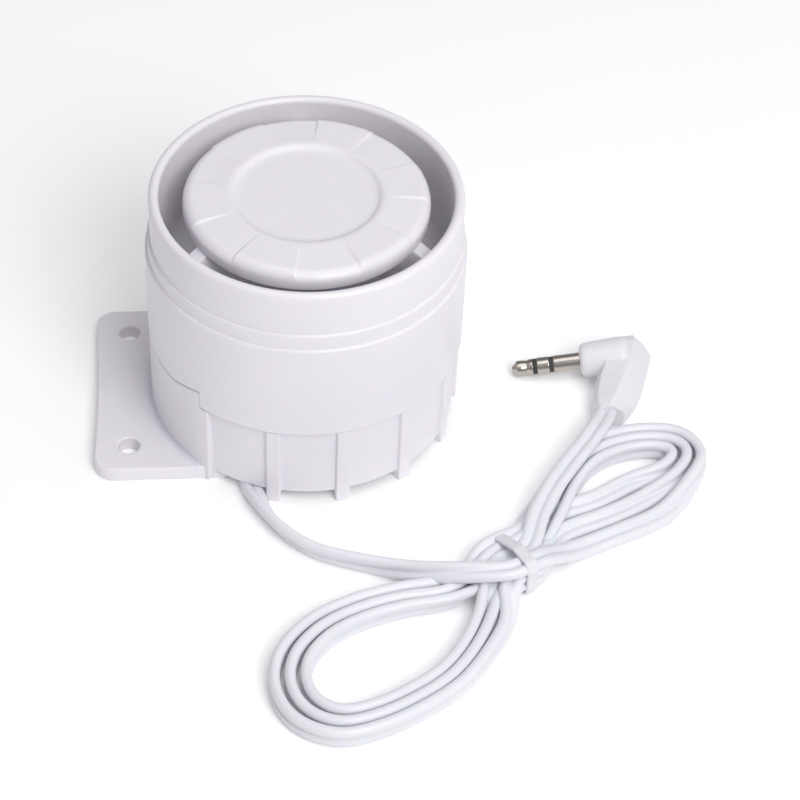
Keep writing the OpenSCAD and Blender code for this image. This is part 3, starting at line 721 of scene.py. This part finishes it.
def smooth_line(knots, step=0.9, rounds=6):
    """The curve through the knots, resampled to even steps and then evened out a little."""
    tiny = 1e-9
    fine = curve_through([Vector(k) for k in knots])
    total = sum((q.xyz - p.xyz).length for p, q in zip(fine, fine[1:]))
    count = round(total / step)
    even, done, target = [fine[0]], 0.0, total / count
    for p, q in zip(fine, fine[1:]):
        length = (q.xyz - p.xyz).length
        while done + length >= target - tiny and len(even) < count:
            even.append(p.lerp(q, (target - done) / length))
            target += total / count
        done += length
    even.append(fine[-1])
    for _ in range(rounds):
        even = [even[0]] + [(p + q * 2 + r) / 4 for p, q, r in zip(even, even[1:], even[2:])] + [even[-1]]
    return even


def twin_section():
    """The cord's section: two round conductors side by side with a web between."""
    half, radius, web_turn, step = (CORD_W - CORD_T) / 2, CORD_T / 2, 150, 25
    right = [(half + radius * math.cos(math.radians(a)), radius * math.sin(math.radians(a)))
             for a in range(-web_turn, web_turn + 1, step)]
    return right + [(-x, -y) for x, y in right]


def make_cord(finish):
    """The whole lead as one tube, with the points that it follows and its length in metres."""
    lowest, least_level = 0.05, 0.35
    line = smooth_line(cord_knots())
    section = twin_section()
    verts = []
    side = Vector((-1, 0, 0))
    for i, knot in enumerate(line):
        ahead = (line[min(i + 1, len(line) - 1)].xyz - line[max(i - 1, 0)].xyz).normalized()
        level = ahead.cross(UP)
        if level.length > least_level:
            side = level.normalized()
        side = (side - ahead * side.dot(ahead)).normalized()
        over = side.cross(ahead)
        tilt = math.radians(knot[3])
        wide = side * math.cos(tilt) + over * math.sin(tilt)
        thick = ahead.cross(wide)
        ring = [knot.xyz + wide * x + thick * y for x, y in section]
        verts += [(v.x * MM, v.y * MM, max(v.z, lowest) * MM) for v in ring]
    cord = make_object("twin_lead", verts, loft_faces(len(section), len(line)), finish, sharp=50)
    path = [tuple(p.xyz * MM) for p in line]
    length = sum((Vector(q) - Vector(p)).length for p, q in zip(path, path[1:]))
    return cord, path, length


def make_tie(finish):
    """The band round the hank, arched over the turns."""
    near, far, low, tall = -7.4, 6.7, 0.05, 8.2
    width, thick, soft = 2.4, 0.75, 0.3
    loop = rounded([(near, low, 1.2), (far, low, 1.2), (far, 4.4, 1.6), (-1.6, tall, 2.0),
                    (-6.4, tall, 1.4), (near, 6.4, 1.0)], 6)
    band = rounded([(0, -width / 2, soft), (thick, -width / 2, soft), (thick, width / 2, soft),
                    (0, width / 2, soft)], 2)
    verts = []
    count = len(loop)
    middle = Vector((0, tall / 2))
    for i, (x, z) in enumerate(loop):
        before, after = Vector(loop[i - 1]), Vector(loop[(i + 1) % count])
        ahead = (after - before).normalized()
        inward = Vector((-ahead.y, ahead.x))
        if inward.dot(middle - Vector((x, z))) < 0:
            inward.negate()
        for depth, along in band:
            spot = Vector((x, z)) + inward * depth
            verts.append((along * MM, spot.x * MM, spot.y * MM))
    tie = make_object("cord_tie_band", verts, loft_faces(len(band), count, closed=True), finish, sharp=50)
    return place(tie, Matrix.Translation(TIE * MM) @ Matrix.Rotation(TIE_TURN, 4, "Z"))


# ---------------------------------------------------------------- plug

# The middle of the barrel's face, and the jack's droop and heading
JACK_BASE = Vector((62.3, 3.2, 4.3))
JACK_DROOP, JACK_TURN = math.radians(10.5), math.radians(177.5)
# Radii of the jack, its insulators, the bore of the sleeve and ring, and the core
JACK_R, INSULATOR_R, BORE_R, CORE_R = 1.75, 1.6, 1.1, 0.6
# Distances from the barrel's face: the end inside the body, and where each piece starts or ends
ROOT, SLEEVE_END, RING_START, RING_END, TIP_START, TIP_END = -6.5, 5.4, 6.3, 8.8, 9.7, 14.0


def jack_frame():
    """Local +Z runs from the barrel's face to the jack's tip."""
    turn = Matrix.Rotation(JACK_TURN, 4, "Z") @ Matrix.Rotation(math.pi / 2 + JACK_DROOP, 4, "Y")
    return Matrix.Translation(JACK_BASE * MM) @ turn


def make_jack(metal, insulator):
    """The five turned pieces of the jack, in order from the barrel."""
    root_r, edge = 1.5, 0.12
    shapes = {
        "jack_sleeve": ([(BORE_R, ROOT, 0), (root_r, ROOT, 0), (root_r, -0.1, 0), (JACK_R, 0, 0),
                         (JACK_R, SLEEVE_END, edge), (BORE_R, SLEEVE_END, 0)], metal, "nickel"),
        "jack_insulator_rear": ([(BORE_R, SLEEVE_END, 0), (INSULATOR_R, SLEEVE_END, 0),
                                 (INSULATOR_R, RING_START, 0), (BORE_R, RING_START, 0)],
                                insulator, "black_plastic"),
        "jack_ring": ([(BORE_R, RING_START, 0), (JACK_R, RING_START, edge), (JACK_R, RING_END, edge),
                       (BORE_R, RING_END, 0)], metal, "nickel"),
        "jack_insulator_front": ([(CORE_R, ROOT, 0), (BORE_R, ROOT, 0), (BORE_R, RING_END, 0),
                                  (INSULATOR_R, RING_END, 0), (INSULATOR_R, TIP_START, 0),
                                  (CORE_R, TIP_START, 0)], insulator, "black_plastic"),
        "jack_tip": ([(0, ROOT, 0), (CORE_R, ROOT, 0), (CORE_R, TIP_START, 0), (1.7, TIP_START, 0.1),
                      (1.66, 10.3, 0.2), (1.48, 10.9, 0.4), (1.62, 12.1, 0.8), (1.62, 12.9, 0.3),
                      (0.55, TIP_END, 0.3), (0, TIP_END, 0)], metal, "nickel"),
    }
    pieces = []
    for node, (corners, finish, slot) in shapes.items():
        outline = rounded(corners, 4)
        piece = turned(node + "_turned", lambda angle: outline, full_turn(48), finish, sharp=35)
        place(piece, jack_frame())
        finish_piece(piece, slot, node)
        pieces.append(piece)
    return pieces


def remesh(piece, voxel, smooth):
    """Fuses overlapping solids into one skin of this voxel size and rounds its edges."""
    modifier = piece.modifiers.new("fuse", "REMESH")
    modifier.mode = "VOXEL"
    modifier.voxel_size = voxel * MM
    soften = piece.modifiers.new("soften", "SMOOTH")
    soften.factor = 0.5
    soften.iterations = smooth
    bake(piece)
    for polygon in piece.data.polygons:
        polygon.use_smooth = True


def make_plug(finish):
    """The moulded right-angle body: a round barrel that runs into a slab-sided arm."""
    barrel = rounded([(0, 0, 0), (3.45, 0, 1.4), (3.8, -5.0, 0), (3.95, -10.5, 1.5), (0, -9.5, 0)], 6)
    body = turned("plug", lambda angle: barrel, full_turn(64), finish)
    place(body, jack_frame())
    arm = arm_block(finish)
    plug = join("plug", [body, arm])
    remesh(plug, voxel=0.2, smooth=8)
    finish_piece(plug, "plug_pvc", "plug_body")
    return plug


# The arm from its upper end to the cable: y, the left and right edges, the ridge, the ridge's height
# and the left shoulder's height
ARM = [(7.5, 72.2, 75.6, 73.8, 6.7, 6.3),
       (7.0, 69.6, 76.9, 73.6, 7.6, 7.3),
       (5.0, 67.8, 77.5, 73.4, 8.1, 7.9),
       (1.0, 66.4, 76.3, 72.4, 8.1, 7.7),
       (-4.0, 64.4, 74.6, 70.4, 7.9, 6.8),
       (-7.5, 63.5, 73.0, 68.8, 7.5, 5.9),
       (-9.8, 63.3, 71.4, 67.6, 6.9, 5.6),
       (-11.8, 63.5, 69.6, 66.6, 6.0, 5.3)]


def arm_block(finish):
    """The arm: a slab with a ridge, a flat shoulder on the jack's side and a steep one on the other."""
    base, left_side, right_side, right_shoulder = 0.2, 1.6, 3.2, 4.4
    verts = []
    for y, left, right, ridge, high, shoulder in ARM:
        outline = [(left + 0.6, base), (left, left_side), (left, shoulder * 0.6), (left + 1.0, shoulder),
                   (ridge, high), (right - 0.6, right_shoulder), (right, right_side), (right - 0.3, base)]
        verts += [(x * MM, y * MM, z * MM) for x, z in outline]
    return make_object("arm", verts, loft_faces(len(outline), len(ARM)), finish)


# ---------------------------------------------------------------- studio

def area_light(name, where, size, power):
    """A round soft light aimed at the object's middle; places and sizes in metres."""
    aim = Vector((0.02, -0.02, 0.02))
    data = bpy.data.lights.new(name, "AREA")
    data.shape = "DISK"
    data.size = size
    data.energy = power
    lamp = bpy.data.objects.new(name, data)
    lamp.location = where
    lamp.rotation_euler = (aim - Vector(where)).to_track_quat("-Z", "Y").to_euler()
    bpy.context.scene.collection.objects.link(lamp)


def make_studio():
    """A pale floor under soft light from the upper right; places and sizes in metres."""
    reach, floor_glow, world_light = 3, 0.08, 0.31
    scene = bpy.context.scene
    scene.view_settings.view_transform = "Standard"
    world = bpy.data.worlds.new("studio")
    world.use_nodes = True
    background = world.node_tree.nodes["Background"]
    background.inputs["Color"].default_value = (0.95, 0.96, 1.0, 1)
    background.inputs["Strength"].default_value = world_light
    scene.world = world
    paper = surface("floor", (0.96, 0.96, 0.96), (0.95, 0.95, 0.95), 0.9, sheen_scale=3, specular=0.1)
    corners = [(-reach, -reach, 0), (reach, -reach, 0), (reach, reach, 0), (-reach, reach, 0)]
    floor = make_object("floor", corners, [(0, 1, 2, 3)], paper)
    glow = paper.node_tree.nodes["Principled BSDF"]
    glow.inputs["Emission Color"].default_value = (1, 1, 1, 1)
    glow.inputs["Emission Strength"].default_value = floor_glow
    area_light("key", (0.32, -0.68, 0.74), size=0.6, power=6.0)
    area_light("top", (0.10, -0.05, 1.1), size=1.0, power=4.2)
    area_light("side", (0.80, 0.10, 0.50), size=0.6, power=0.6)


# ---------------------------------------------------------------- build

make_camera()
finishes = make_materials()

cord_piece, cord_path, cord_length = make_cord(finishes["white_pvc"])
finish_piece(cord_piece, "white_pvc", "cord_tail", "cord_hank", "plug_lead")
tie_piece = make_tie(finishes["tie_vinyl"])
finish_piece(tie_piece, "tie_vinyl", "cord_tie")
plug_piece = make_plug(finishes["plug_pvc"])
jack_pieces = make_jack(finishes["nickel"], finishes["black_plastic"])

make_drum(finishes["white_abs"])
make_housing(finishes["white_abs"])
make_reflector(finishes["white_abs"])

slots = {row["node"]: row["material_slot"] for row in frame["record"]["subparts"]}
for node, piece in frame["nodes"].items():
    for slot in piece.material_slots:
        slot.material = finishes[slots[node]]
    if not piece.material_slots:
        piece.data.materials.append(finishes[slots[node]])

make_studio()
